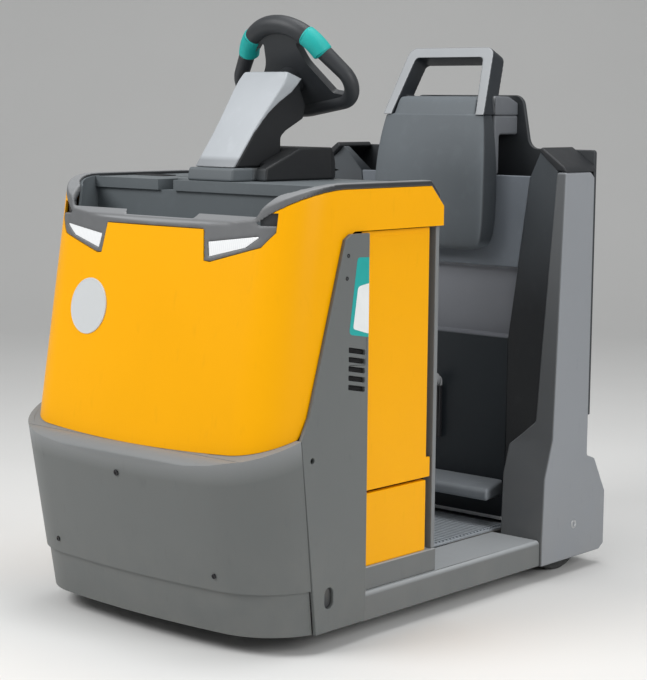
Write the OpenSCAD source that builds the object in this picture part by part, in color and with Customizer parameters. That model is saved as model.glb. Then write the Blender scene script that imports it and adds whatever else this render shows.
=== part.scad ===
// Stand-on electric tow tractor: +X forward, +Y left, +Z up, standing on its wheels at z = 0.

/* [Overall] */
// Width over the side panels and cheeks
overall_w = 810; // [800:1:830]
// Wall of the moulded covers
skin = 6; // [5:0.5:7]
// Seam left between neighbouring panels
seam = 0.5; // [0.3:0.1:0.8]
// Room kept round every moving piece
travel_gap = 6; // [5:0.5:8]
// Radial clearance of shafts in their bores
bore_clearance = 0.05; // [0.02:0.01:0.09]
// Height of the covers' lower edge above the ground
ground_gap = 44; // [40:1:50]

/* [Nose] */
// Forward reach of the apron's foot
apron_foot_x = 618; // [615:1:622]
// Forward lean of the apron
apron_lean = 10.2; // [9.8:0.1:10.4]
// Plan radius of the apron's corners
apron_corner_r = 170; // [165:1:175]
// Height of the apron's shoulder
shoulder_z = 391; // [388:1:394]
// Radius of the apron's shoulder
shoulder_r = 40; // [38:1:42]
// Height of the line above the set-back foot of the apron
foot_line_z = 142; // [130:1:155]
// Set-back of the apron's foot
foot_inset = 6; // [5:0.5:7]
// Forward reach of the hood's lower edge
hood_front_x = 645; // [643:1:647]
// Backward lean of the hood's face
hood_lean = 9.5; // [9.2:0.1:9.8]
// Plan radius of the hood's corners
hood_corner_r = 130; // [126:1:134]
// Set-back of the hood's sides from the side panels
hood_inset = 10; // [10:0.5:12]
// Set-back of the bowed front at its sides
bow_depth = 36; // [34:0.5:38]
// Height of the hood's side edge above the doors
flange_z = 896; // [895:1:898]
// Height of the hood's upper edge along the sides
hood_top_z = 985; // [982:1:988]
// Height of the hood's upper edge between the lamps
brow_z = 898; // [897:0.5:900]
// Height of the rim above the hood's upper edge
rim_h = 13; // [11:1:15]
// Width of the rim's band
rim_t = 28; // [26:1:30]

/* [Dash] */
// Floor of the storage tray
tray_z = 880; // [876:1:884]
// Rear end of the storage tray
tray_back_x = 410; // [406:1:414]
// Top of the dash deck
deck_z = 990; // [988:1:992]
// Height of the deck's overhanging front edge
tier_h = 24; // [20:1:28]

/* [Operator bay] */
// Rear face of the front body
bay_front_x = 47; // [45:1:49]
// Front face of the rear wall
bay_rear_x = -460; // [-463:1:-457]
// Height of the step
step_z = 104; // [102:1:107]
// Width of each sill
sill_w = 144; // [140:1:148]
// Height of the mat's ribs above the platform
mat_h = 7; // [6:0.5:8]
// Rear edge of the side panels, where the battery doors begin
door_front_x = 316; // [315:1:318]
// Rear edge of the battery doors
door_rear_x = 80; // [79:1:82]
// Set-back of the battery doors from the side panels
door_inset = 23; // [21:0.5:25]
// Thickness of the battery doors
door_t = 16; // [15:0.5:17]
// Height of the joint between battery door and lower panel
door_low_z = 322; // [318:1:326]
// Top of the battery doors
door_top_z = 882; // [880:1:884]
// Top of the sill's upper tier
tier_z = 156; // [154:1:158]

/* [Rear body] */
// Rear edge of the cheeks above the bumper
cheek_rear_x = -550; // [-553:1:-547]
// Rearmost face of the cheeks
bumper_x = -636; // [-638:1:-634]
// Top of the cheeks
cheek_top_z = 1003; // [1000:1:1006]
// Width of the cheek's front return above its lid
return_w = 55; // [52:1:58]
// Width of the cheek's wheel box
wheel_box_w = 127; // [124:1:130]
// Top of the rear wall beside the backrest
rear_wall_top_z = 990; // [986:1:994]
// Half width of the rear wall at its foot
rear_wall_half_w = 215; // [212:1:218]
// Depth of the recess across the rear wall
recess_depth = 28; // [24:1:32]
// Top of the cowl behind the pockets
cowl_top_z = 1056; // [1052:1:1060]

/* [Backrest] */
// Reach of the pad below the rear wall's upper edge
pad_drop = 192; // [188:1:196]
// Height of the pad
pad_h = 388; // [384:1:392]
// Height of the handle above the pad
handle_h = 124; // [120:1:128]
// Backward lean of the handle
handle_lean = 24.5; // [23.5:0.5:25.5]
// Depth of the handle's legs
handle_t = 52; // [48:1:56]
// Thickness of the handle's bar
handle_bar = 28; // [26:1:30]

/* [Running gear] */
// Radius of the drive tyre
drive_r = 127; // [125:0.5:128]
// Width of the drive tyre
drive_w = 102; // [98:1:104]
// Place of the steering axis
steer_x = 465; // [463:1:467]
// Radius of the rear tyres
rear_r = 120; // [118:0.5:121]
// Width of the rear tyres
rear_w = 70; // [66:1:72]
// Place of the rear axle
rear_x = -500; // [-501:0.5:-498]
// Middle plane of each rear tyre, from the cheek's outer face
rear_inset = 80; // [78:1:82]

/* [Steering] */
// Height of the steering wheel's middle
hub_z = 1221; // [1219:1:1223]
// Place of the steering wheel's middle
hub_x = 115; // [113:1:117]
// Thickness of the steering wheel's rim
wheel_rim_t = 33; // [31:1:35]
// Lean of the steering shaft from the vertical
shaft_lean = 63; // [62:0.5:64]

/* [Hidden] */
$fn = 72;
eps = 0.01;
far = 1000;
side_y = overall_w / 2;
panel_t = 10;
bow_r = (side_y * side_y + bow_depth * bow_depth) / (2 * bow_depth);
hood_y = side_y - hood_inset;
door_y = side_y - door_inset;
sill_y = side_y - 6;
mat_half_w = sill_y - sill_w;
rear_y = side_y - rear_inset;
body_rear_x = bay_front_x + 13;

// Lower edge of the hood: a straight rise from the front to the side panel
hood_edge_x = 525;
hood_edge_z = 471;
hood_low_z = 431;
edge_rise = (hood_edge_z - hood_low_z) / (hood_front_x - hood_edge_x);
function hood_edge(x) = hood_edge_z + (hood_edge_x - x) * edge_rise;

// Sloping front edge of the side panels
slope_foot = [504, 516];
slope_top = [395, 881];

// Shapes shared by several pieces

// Mirrors what is drawn for the left side to the right when side is -1
module on_side(side) {
    mirror([0, side < 0 ? 1 : 0, 0]) children();
}

module both_sides() {
    for (side = [1, -1]) on_side(side) children();
}

// Side view outline (x, z) carried across from y0 to y1
module across(y0, y1) {
    translate([0, y1, 0]) rotate([90, 0, 0]) linear_extrude(y1 - y0) children();
}

// Front view outline (y, z) carried along from x0 to x1
module along(x0, x1) {
    translate([x0, 0, 0]) rotate([90, 0, 90]) linear_extrude(x1 - x0) children();
}

// Smooth closed curve through the corners p, with n points to each span
function bend(a, b, c, d, t) = 0.5 * (2 * b + (c - a) * t + (2 * a - 5 * b + 4 * c - d) * t * t
    + (3 * b - a - 3 * c + d) * t * t * t);
function smooth(p, n) = [for (i = [0:len(p) - 1]) for (k = [0:n - 1])
    bend(p[(i + len(p) - 1) % len(p)], p[i], p[(i + 1) % len(p)], p[(i + 2) % len(p)], k / n)];

// Right half of an outline, mirrored to close it
function mirrored(half) = concat(half, [for (i = [len(half) - 1:-1:0]) if (half[i][1] > 0) [half[i][0], -half[i][1]]]);

// Corner b of a sketch, rounded with radius r: where its arc starts and ends, and its middle
function unit(v) = v / norm(v);
function half_turn(a, b, c) = acos(unit(a - b) * unit(c - b)) / 2;
function arc_start(a, b, c, r) = b + unit(a - b) * r / tan(half_turn(a, b, c));
function arc_middle(a, b, c, r) = b + unit(unit(a - b) + unit(c - b)) * r / sin(half_turn(a, b, c));
function heading(v) = atan2(v[1], v[0]);
function nearer(turn) = turn > 180 ? turn - 360 : turn < -180 ? turn + 360 : turn;

// Closed sketch with rounded corners: each row is a corner and its radius, with n steps to an arc
function corner(p, i) = [p[(i + len(p)) % len(p)][0], p[(i + len(p)) % len(p)][1]];
function rounded(p, n) = rounded_run(p, n, len(p));
// The arcs of its first m corners alone
function rounded_run(p, n, m_corners) = [for (i = [0:m_corners - 1]) let (a = corner(p, i - 1), b = corner(p, i), c = corner(p, i + 1), r = p[i][2],
    m = arc_middle(a, b, c, r), from = heading(arc_start(a, b, c, r) - m), turn = nearer(heading(arc_start(c, b, a, r) - m) - from))
    for (k = [0:n]) m + r * [cos(from + turn * k / n), sin(from + turn * k / n)]];

// Plan of the nose: bowed front at x = 0, round corners, straight sides reaching back
module nose_plan(half_w, corner_r, bow, inset, reach) {
    r = corner_r - inset;
    bow_i = bow - inset;
    w = half_w - inset;
    corner_x = -bow + sqrt((bow_i - r) * (bow_i - r) - (w - r) * (w - r));
    sweep = atan2(w - r, corner_x + bow);
    intersection() {
        translate([-bow, 0]) circle(bow_i, $fn = 720);
        polygon([[-bow, 0], [bow * cos(sweep), 2 * bow * sin(sweep)], [bow * cos(sweep), -2 * bow * sin(sweep)]]);
        translate([-reach, -w]) square([2 * reach, 2 * w]);
    }
    for (s = [1, -1]) translate([corner_x, s * (w - r)]) circle(r);
    translate([-reach, -w]) square([reach + corner_x, 2 * w]);
}

// Leaning block of the apron, drawn in by inset
module apron_block(inset) {
    translate([apron_foot_x, 0, ground_gap]) rotate([0, apron_lean, 0]) translate([0, 0, -200])
        linear_extrude(900) nose_plan(side_y, apron_corner_r, bow_r, inset, 400);
}

// Leaning block of the hood, drawn in by inset
module hood_block(inset) {
    translate([hood_front_x, 0, hood_low_z]) rotate([0, -hood_lean, 0]) translate([0, 0, -60])
        linear_extrude(900) nose_plan(hood_y, hood_corner_r, bow_r, inset, 760);
}

// Quarter ellipse that brings the upper edge down from the sides to the brow
sweep_back_x = 388;
function sweep_curve(front_x, low_z, top_z) = [for (a = [90:-10:0])
    [sweep_back_x + (front_x - sweep_back_x) * sin(a), low_z + (top_z - low_z) * cos(a)]];
brow_x = 547;

// Side view of all below the hood's upper edge, raised by lift
module below_brow(lift) {
    tail_r = 45;
    polygon(concat([[bay_front_x, 0], [far, 0], [far, brow_z + lift]],
        sweep_curve(brow_x + lift / 2, brow_z + lift, hood_top_z + lift),
        [[bay_front_x + tail_r, hood_top_z + lift], [bay_front_x, hood_top_z + lift - tail_r]]));
}

// Front view of the notch in the hood that holds a lamp and its dark surround
notch_outer = side_y - 73;
notch_w = 182;
notch_inner = notch_outer - notch_w;
module lamp_notch(inset) {
    polygon([[notch_inner + inset, brow_z + 40], [notch_inner + inset, brow_z], [notch_inner + 10 + inset, brow_z - 66 + inset],
        [notch_inner + 26, brow_z - 68 + inset], [notch_outer - 27 - inset, brow_z - 32 + inset],
        [notch_outer - inset, brow_z], [notch_outer - inset, brow_z + 40]]);
}

module lamp_outline(inset) {
    polygon([[notch_inner + 16 + inset, brow_z - 25 - inset], [notch_inner + 23 + inset, brow_z - 57 + inset],
        [notch_outer - 66 - inset, brow_z - 34 + inset], [notch_outer - 29 - 2 * inset, brow_z - 8 - inset]]);
}

// Side view of the side panel: seam to the apron, edge below the hood, slope and round upper corner
seam_foot_x = 478;
module side_panel_outline() {
    corner = slope_top + [-6, 11];
    polygon([[door_front_x, ground_gap], [seam_foot_x, ground_gap], [hood_edge_x + 4, hood_edge_z - 2],
        slope_foot, slope_top, corner + [-12, 0], [door_front_x, corner[1]]]);
}

// Front body

rail_y0 = 150;
rail_y1 = 210;
rail_z0 = 50;
rail_z1 = 80;
firewall_x = 306;
firewall_t = 12;
firewall_half_w = door_y - door_t - 2 * travel_gap;
side_plate_x = door_front_x + 2 * travel_gap;
side_plate_l = 130;
bridge_z = 300;
bridge_t = 16;
neck_r = 80;
rear_plate_x = -600;
rear_plate_t = 15;
bay_floor_t = 16;
bay_floor_z = tier_z - bay_floor_t;

module chassis() color("dimgray") {
    bay_floor_half_w = door_y - door_t;
    difference() {
        union() {
            both_sides() translate([rear_plate_x + rear_plate_t, rail_y0, rail_z0])
                cube([steer_x + 90 - rear_plate_x - rear_plate_t, rail_y1 - rail_y0, rail_z1 - rail_z0]);
            translate([firewall_x, -mat_half_w + 1, rail_z0]) cube([firewall_t, 2 * mat_half_w - 2, tier_z - rail_z0]);
            translate([firewall_x, -firewall_half_w, tier_z - eps])
                cube([firewall_t, 2 * firewall_half_w, bridge_z + bridge_t - tier_z + eps]);
            translate([firewall_x, -rail_y1 - 30, bridge_z]) cube([270, 2 * rail_y1 + 60, bridge_t]);
            both_sides() translate([side_plate_x, side_y - panel_t - firewall_t, rail_z0])
                cube([side_plate_l, firewall_t, bridge_z + 110 - rail_z0]);
            both_sides() translate([side_plate_x, rail_y1, bridge_z])
                cube([side_plate_l, side_y - panel_t - rail_y1, bridge_t]);
            translate([bay_front_x + 12, -bay_floor_half_w, bay_floor_z])
                cube([firewall_x - bay_front_x - 12 + eps, 2 * bay_floor_half_w, bay_floor_t]);
            both_sides() translate([bay_front_x + 40, rail_y0, rail_z1 - eps])
                cube([60, rail_y1 - rail_y0, bay_floor_z - rail_z1 + 2 * eps]);
            translate([rear_plate_x, -260, rail_z0]) cube([rear_plate_t, 520, 420]);
        }
        translate([0, -rail_y0, 0]) cube([steer_x, 2 * rail_y0, drive_r * 2 + 16]);
        translate([steer_x, 0, bridge_z - 1]) cylinder(r = neck_r + bore_clearance, h = bridge_t + 2);
    }
}

// Side view of the apron, drawn in by inset at the shoulder only
apron_top_x = hood_front_x - 4;
module apron_outline(inset) {
    back = inset > 0 ? 40 : 0;
    polygon([[seam_foot_x + seam - back, -1], [far, -1], [far, shoulder_z],
        [apron_top_x, shoulder_z], [apron_top_x, hood_low_z - inset], [apron_top_x - inset, hood_low_z - inset],
        [apron_top_x - inset, hood_edge(apron_top_x - inset) - seam + back],
        [hood_edge_x + 4 + seam - back, hood_edge(hood_edge_x + 4) - seam + back],
        [hood_edge_x + 4 + seam - back, hood_edge_z - 4],
        [seam_foot_x + seam - back, ground_gap]]);
    translate([apron_top_x, shoulder_z]) circle(shoulder_r - inset);
}

// Screw hole through the apron's face, at y and height z
screw_r = 4;
module apron_hole(y, z) {
    translate([apron_foot_x + (z - ground_gap) * tan(apron_lean), y, z]) rotate([0, 90 + apron_lean, 0])
        cylinder(r = screw_r, h = apron_corner_r, center = true);
}

module front_apron() color("gray") {
    difference() {
        intersection() {
            apron_block(1);
            across(-far, far) polygon([[apron_top_x, hood_low_z - skin], [apron_top_x, hood_low_z],
                [hood_edge_x + 5, hood_edge(hood_edge_x + 5) - seam],
                [hood_edge_x + 5, hood_edge(hood_edge_x + 5) - seam - skin]]);
        }
        hood_block(2 * skin);
    }
    difference() {
        intersection() {
            union() {
                intersection() {
                    apron_block(0);
                    translate([0, -far, foot_line_z]) cube([far, 2 * far, far]);
                }
                intersection() {
                    apron_block(foot_inset);
                    translate([0, -far, 0]) cube([far, 2 * far, foot_line_z + eps]);
                }
            }
            across(-far, far) apron_outline(0);
        }
        intersection() {
            apron_block(skin + foot_inset + 2);
            across(-far, far) apron_outline(skin + 2);
        }
        translate([0, -far, -far + ground_gap]) cube([far, 2 * far, far]);
        both_sides() apron_hole(side_y - 156, 174);
        apron_hole(0, 369);
    }
}

vent_rows = 5;
vent_pitch = 20;
vent_top = [354, 642];
lash_hole = [438, 118];
plug_hole = [494, 423];
module side_panel(side) on_side(side) color("gray") {
    difference() {
        across(side_y - panel_t, side_y) side_panel_outline();
        for (i = [0:vent_rows - 1]) across(side_y - 2 * panel_t, side_y + 1)
            translate(vent_top - [0, i * vent_pitch]) polygon([[-27, -11], [27, -1], [27, 10], [-27, 0]]);
        across(side_y - 2 * panel_t, side_y + 1) translate(lash_hole) lashing_outline(28, 46);
        across(side_y - 2 * panel_t, side_y + 1) translate(plug_hole) circle(6);
    }
}

module lashing_outline(w, h) {
    square([w, h - w], center = true);
    for (s = [1, -1]) translate([0, s * (h - w) / 2]) circle(w / 2);
}

module hood() color("gold") {
    difference() {
        intersection() {
            hood_block(0);
            across(-far, far) below_brow(0);
        }
        hood_block(skin);
        across(-far, far) polygon([[-far, -far], [far, -far], [far, hood_edge(far)], [hood_edge_x, hood_edge_z],
            slope_foot - [14, 0], slope_top - [14, 0], [slope_top[0] - 40, flange_z], [-far, flange_z]]);
        both_sides() along(400, 700) lamp_notch(0);
    }
}

// Front part of the rim: a band that slopes up to its inner edge, lower in the middle
band_half_w = notch_outer - 60;
band_foot = [563, brow_z + rim_h - 3];
band_rise = 0.82;
dip_half_w = notch_inner - 44;
dip_z = brow_z + 20;
module hood_rim() color([0.3, 0.31, 0.32]) {
    difference() {
        intersection() {
            hood_block(0);
            union() {
                difference() {
                    across(-far, far) below_brow(rim_h);
                    across(-far, far) below_brow(seam);
                }
                both_sides() along(400, 700) intersection() {
                    lamp_notch(seam);
                    square([far, brow_z + rim_h]);
                }
            }
        }
        hood_block(rim_t);
        both_sides() along(400, 700) lamp_outline(0);
        translate([-far + body_rear_x, -far, 0]) cube([far, 2 * far, 2 * far]);
        intersection() {
            across(-far, far) polygon([band_foot, band_foot + [100, 0], band_foot + [100, 200], band_foot + [-200, 200],
                band_foot + [-200, 200 * band_rise]]);
            along(450, 700) polygon([[-band_half_w, band_foot[1] - 1], [band_half_w, band_foot[1] - 1],
                [band_half_w + 60, band_foot[1] + 100], [-band_half_w - 60, band_foot[1] + 100]]);
        }
        along(450, 700) polygon([[-dip_half_w, dip_z], [dip_half_w, dip_z], [dip_half_w + 20, dip_z + 40],
            [-dip_half_w - 20, dip_z + 40]]);
    }
}

module lamps() color("white") {
    both_sides() difference() {
        intersection() {
            hood_block(1);
            along(400, 700) lamp_outline(seam / 2);
        }
        hood_block(rim_t);
    }
}

// Dash: deck with an overhanging front edge, a recessed wall below it and the storage tray
deck_low_z = flange_z + 9;
tray_wall_x = tray_back_x - 8;
pocket = [-148, 50, 62];
clip_slot = [250, -240, 14, 190];
module dash_deck() color([0.25, 0.26, 0.27]) {
    difference() {
        intersection() {
            hood_block(rim_t + seam);
            across(-far, far) polygon([[body_rear_x, deck_low_z], [tray_wall_x - skin, deck_low_z],
                [tray_wall_x - skin, tray_z - skin], [brow_x + 20, tray_z - skin], [brow_x + 20, tray_z],
                [tray_wall_x, tray_z], [tray_wall_x, deck_z - tier_h], [tray_back_x, deck_z - tier_h],
                [tray_back_x, deck_z], [body_rear_x, deck_z]]);
        }
        intersection() {
            hood_block(rim_t + seam + skin);
            across(-far, far) polygon([[body_rear_x + skin, 0], [tray_wall_x - skin, 0],
                [tray_wall_x - skin, deck_z - tier_h - skin], [body_rear_x + skin, deck_z - tier_h - skin]]);
        }
        translate([tray_back_x - pocket[2], pocket[0], deck_z - tier_h]) cube([pocket[2] + 1, pocket[1], tier_h + 1]);
        translate([clip_slot[0], clip_slot[1], deck_z - skin]) cube([clip_slot[2], clip_slot[3], skin + 1]);
    }
    difference() {
        intersection() {
            hood_block(rim_t + seam);
            across(-far, far) below_brow(rim_h - skin);
            translate([tray_wall_x - skin, -far, tray_z - skin]) cube([far, 2 * far, far]);
        }
        hood_block(rim_t + seam + skin);
        along(450, 700) polygon([[-band_half_w - 40, brow_z + 8], [band_half_w + 40, brow_z + 8],
            [band_half_w + 40, far], [-band_half_w - 40, far]]);
    }
}

// Steering

pedestal_h = 30;
pedestal_half_w = 70;
pedestal_x = [200, 390];
console_half_w = 105;
console_top_z = deck_z + 74;
console_rear_x = 60;
console_front_x = 322;
console_top_x = [95, 205];
console_corner_r = 40;
column_foot_z = deck_z + pedestal_h;
column_half_w = 58;
column_rear_x = 219;
column_head_z = hub_z + 7;
cover_foot_x = 385;
cover_head_x = 223;
cover_foot_half_w = 61;
cover_head_half_w = 75;
cover_crown_r = 420;
shaft_r = 16;
collar_r = 34;
collar_l = 38;
module on_shaft() {
    translate([hub_x, 0, hub_z]) rotate([0, -shaft_lean, 0]) children();
}

module console() color([0.17, 0.18, 0.19]) {
    difference() {
        union() {
            intersection() {
                across(-console_half_w, console_half_w) polygon([[console_rear_x + 10, deck_z],
                    [console_front_x, deck_z], [console_front_x - 4, column_foot_z], [console_top_x[1], console_top_z],
                    [console_top_x[0], console_top_z], [console_rear_x, deck_z + 16]]);
                linear_extrude(2 * far) union() {
                    translate([console_rear_x + console_corner_r, -console_half_w]) square([far, 2 * console_half_w]);
                    translate([console_rear_x, -console_half_w + console_corner_r])
                        square([far, 2 * (console_half_w - console_corner_r)]);
                    for (s = [1, -1]) translate([console_rear_x + console_corner_r, s * (console_half_w - console_corner_r)])
                        circle(console_corner_r);
                }
            }
            across(-pedestal_half_w, pedestal_half_w) polygon([[pedestal_x[0], deck_z], [pedestal_x[1] + 6, deck_z],
                [pedestal_x[1], column_foot_z], [pedestal_x[0], column_foot_z]]);
        }
        across(-column_half_w - seam, column_half_w + seam) polygon([[column_rear_x - seam, column_foot_z],
            [far, column_foot_z], [far, 2 * far], [column_rear_x - seam, 2 * far]]);
        across(-cover_head_half_w, cover_head_half_w) polygon([[cover_foot_x - 92, column_foot_z],
            [far, column_foot_z], [far, 2 * far], [cover_foot_x - 92, 2 * far]]);
    }
}

// Seam between the cover and the body, as steps back and up from the cover's foot
cover_seam = [[-12, 0], [-73, 77], [-117, 123], [-144, 144], [-185, 169], [-219, 200]];
function seam_line(gap) = [for (p = cover_seam) [cover_foot_x + p[0] - gap, column_foot_z + p[1]]];
shaft_l = 60;
module column_body() color([0.17, 0.18, 0.19]) {
    difference() {
        across(-column_half_w, column_half_w) polygon(concat([[column_rear_x, column_foot_z]], seam_line(seam),
            [[hub_x + 20, column_head_z - 68], [hub_x + 28, column_head_z - 99], [column_rear_x - 18, column_head_z - 126],
            [column_rear_x, column_head_z - 140]]));
        on_shaft() translate([0, 0, -shaft_l - travel_gap]) cylinder(r = shaft_r + bore_clearance, h = far);
    }
}

module column_cover() color("silver") {
    rise = column_head_z - column_foot_z;
    slope = atan2(cover_foot_x - cover_head_x, rise);
    difference() {
        intersection() {
            across(-far, far) polygon(concat(rounded_run([[cover_foot_x - 2, column_foot_z, 1], [cover_foot_x, column_foot_z + 2, 1],
                [cover_head_x + 14, column_head_z - 18, 40], [cover_head_x - 10, column_head_z + 9, 10],
                [hub_x + 51, column_foot_z + 200, 0.1], [cover_foot_x - 60, column_foot_z + 60, 0.1]], 8, 4),
                [for (i = [len(cover_seam) - 1:-1:0]) seam_line(0)[i]]));
            along(0, far) polygon(rounded([[-cover_foot_half_w, column_foot_z, 3], [cover_foot_half_w, column_foot_z, 3],
                [cover_foot_half_w + 1, column_foot_z + rise * 0.45, 300], [cover_head_half_w, column_head_z - 20, 60],
                [cover_head_half_w - 8, column_head_z + 12, 16], [8 - cover_head_half_w, column_head_z + 12, 16],
                [-cover_head_half_w, column_head_z - 20, 60], [-cover_foot_half_w - 1, column_foot_z + rise * 0.45, 300]], 8));
            translate([cover_foot_x, 0, column_foot_z]) rotate([0, -slope, 0]) translate([-cover_crown_r, 0, -far])
                cylinder(r = cover_crown_r, h = 2 * far, $fn = 180);
        }
        on_shaft() translate([0, 0, -shaft_l - travel_gap]) cylinder(r = shaft_r + travel_gap, h = far);
    }
}

// Middle line of the steering wheel's rim: corners of a rounded triangle as up, sideways and radius
wheel_line = [[212, 0, 128], [-44, 209, 46], [-82, 0, 150], [-44, -209, 46]];
wheel_path = rounded(wheel_line, 7);
path_n = len(wheel_path);
rim_sides = 14;
crown_bend = wheel_line[0][2];
crown_m = arc_middle(corner(wheel_line, -1), corner(wheel_line, 0), corner(wheel_line, 1), crown_bend);
// Slot between the middle plate and the rim, as up, sideways and corner radius
slot_line = [[106, 46, 6], [20, 146, 30], [-40, 164, 12], [-32, 116, 12], [44, 62, 80]];
crown_r = 21;
crown_z = [70, 110];
grip_r = 24;
grip_turn = [38, 66];
plate_t = 18;
boss_r = 30;
// Radius of the rim's tube, which swells towards the crown
function rim_r(p) = wheel_rim_t / 2
    + (crown_r - wheel_rim_t / 2) * max(0, min(1, (p[0] - crown_z[0]) / (crown_z[1] - crown_z[0])));

// Ring of points round the rim's middle line at its point i
function rim_ring(i) = let (p = wheel_path[i], r = rim_r(p),
    ahead = unit(wheel_path[(i + 1) % path_n] - wheel_path[(i + path_n - 1) % path_n]))
    [for (k = [0:rim_sides - 1]) let (turn = 360 * k / rim_sides)
    [p[0] + r * cos(turn) * ahead[1], p[1] - r * cos(turn) * ahead[0], r * sin(turn)]];

// Round tube along the whole middle line
module rim_tube() {
    polyhedron([for (i = [0:path_n - 1]) each rim_ring(i)], [for (i = [0:path_n - 1]) for (k = [0:rim_sides - 1])
        let (j = (i + 1) % path_n, m = (k + 1) % rim_sides)
        each [[i * rim_sides + k, i * rim_sides + m, j * rim_sides + m], [i * rim_sides + k, j * rim_sides + m, j * rim_sides + k]]]);
}

// Soft sleeve of radius r round the left shoulder of the rim, longer by room degrees at both ends
module sleeve(r, room) {
    translate(crown_m) rotate(grip_turn[0] - room) rotate_extrude(angle = grip_turn[1] - grip_turn[0] + 2 * room)
        translate([crown_bend, 0]) circle(r);
}

module steering_wheel() color([0.1, 0.1, 0.11]) {
    on_shaft() {
        difference() {
            union() {
                rim_tube();
                linear_extrude(plate_t, center = true) difference() {
                    polygon(wheel_path);
                    for (s = [1, -1]) scale([1, s]) polygon(rounded(slot_line, 6));
                }
            }
            for (s = [1, -1]) scale([1, s, 1]) sleeve(grip_r + bore_clearance, bore_clearance);
        }
        translate([0, 0, -collar_l]) cylinder(r = collar_r, h = collar_l);
        translate([0, 0, -eps]) cylinder(r = boss_r, h = plate_t / 2 + 6);
        translate([0, 0, -shaft_l]) cylinder(r = shaft_r, h = shaft_l);
    }
}

module steering_grips() color("teal") {
    on_shaft() for (s = [1, -1]) scale([1, s, 1]) sleeve(grip_r, 0);
}

// Battery bay

battery_x0 = 84;
battery_l = 212;
battery_half_w = door_y - door_t - 54;
battery_h = 627;
module battery() color([0.2, 0.2, 0.22]) {
    translate([battery_x0, -battery_half_w, tier_z]) cube([battery_l, 2 * battery_half_w, battery_h]);
}

pivot_x = door_front_x - door_t;
pivot_y = door_y - door_t / 2;
pin_r = 5;
tab_w = 14;
tab_h = 46;
door_bottom_z = door_low_z + travel_gap / 2;
panel_top_z = door_low_z - travel_gap / 2;
module battery_door(side) on_side(side) color("gold") {
    difference() {
        union() {
            translate([door_rear_x, door_y - door_t, door_bottom_z])
                cube([door_front_x - seam - door_rear_x, door_t, door_top_z - door_bottom_z]);
            translate([door_rear_x - tab_w, pivot_y, door_bottom_z]) cube([tab_w + eps, door_t / 2, tab_h]);
        }
        translate([pivot_x, pivot_y, 0]) cylinder(r = pin_r + bore_clearance, h = far);
    }
}

module door_hinge_pins() color("silver") {
    both_sides() translate([pivot_x, pivot_y, panel_top_z]) cylinder(r = pin_r, h = door_top_z + 8 - panel_top_z);
}

module lower_panels() color("gold") {
    both_sides() translate([door_rear_x, door_y - door_t, tier_z])
        cube([door_front_x - seam - door_rear_x, door_t, panel_top_z - tier_z]);
}

post_w = door_rear_x - travel_gap - tab_w - bay_front_x;
post_d = 28;
module posts() color("gray") {
    both_sides() translate([bay_front_x, door_y + 2 - post_d, tier_z]) cube([post_w, post_d, flange_z - seam - tier_z]);
}

bulkhead_t = 12;
module bulkhead() color([0.2, 0.21, 0.22]) {
    half_w = door_y + 2 - post_d;
    lift = travel_gap / 2;
    translate([bay_front_x, -mat_half_w + seam, step_z]) cube([bulkhead_t, 2 * (mat_half_w - seam), lift + eps]);
    translate([bay_front_x, -half_w, step_z + lift]) cube([bulkhead_t, 2 * half_w, deck_z - step_z - lift]);
}

// Step and platform

sill_bottom_z = 40;
sill_edge_r = 12;
cheek_foot_x = -357;
module sill(side) on_side(side) color("lightgray") {
    along(cheek_foot_x + seam, door_front_x - seam) union() {
        translate([mat_half_w, sill_bottom_z]) square([sill_w - sill_edge_r, step_z - sill_bottom_z]);
        translate([mat_half_w, sill_bottom_z]) square([sill_w, step_z - sill_bottom_z - sill_edge_r]);
        translate([sill_y - sill_edge_r, step_z - sill_edge_r]) circle(sill_edge_r);
    }
    along(bay_front_x, firewall_x - seam) translate([door_y - door_t, step_z - eps])
        square([door_t + 6, tier_z - step_z + eps]);
}

platform_t = 24;
module platform() color([0.3, 0.31, 0.32]) {
    translate([bay_rear_x, -mat_half_w + seam, step_z - platform_t])
        cube([bay_front_x + bulkhead_t - bay_rear_x, 2 * (mat_half_w - seam), platform_t]);
}

rib_pitch = 14;
rib_w = 8;
mat_base = 3;
mat_border = 8;
mat_x0 = bay_rear_x + 30;
mat_x1 = bay_front_x - 2;
module floor_mat() color([0.13, 0.13, 0.14]) {
    half_w = mat_half_w - 6;
    translate([mat_x0, -half_w, step_z]) cube([mat_x1 - mat_x0, 2 * half_w, mat_base]);
    for (x = [mat_x0 + rib_w:rib_pitch:mat_x1 - 2 * rib_w]) translate([x, -half_w + mat_border, step_z + mat_base - eps])
        cube([rib_w, 2 * (half_w - mat_border), mat_h - mat_base]);
}

// Rear body

ledge_front_x = bay_rear_x + 106;
ledge_half_w = rear_wall_half_w + 22;
ledge_z = 178;
ledge_h = 30;
module foot_ledge() color([0.45, 0.46, 0.47]) {
    intersection() {
        across(-far, far) polygon([[bay_rear_x, ledge_z - 4], [ledge_front_x, ledge_z], [ledge_front_x, ledge_z + ledge_h - 4],
            [ledge_front_x - 8, ledge_z + ledge_h], [bay_rear_x, ledge_z + ledge_h + 8]]);
        linear_extrude(far) polygon([[bay_rear_x, -rear_wall_half_w + 4], [ledge_front_x, -ledge_half_w],
            [ledge_front_x, ledge_half_w], [bay_rear_x, rear_wall_half_w - 4]]);
    }
}

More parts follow.
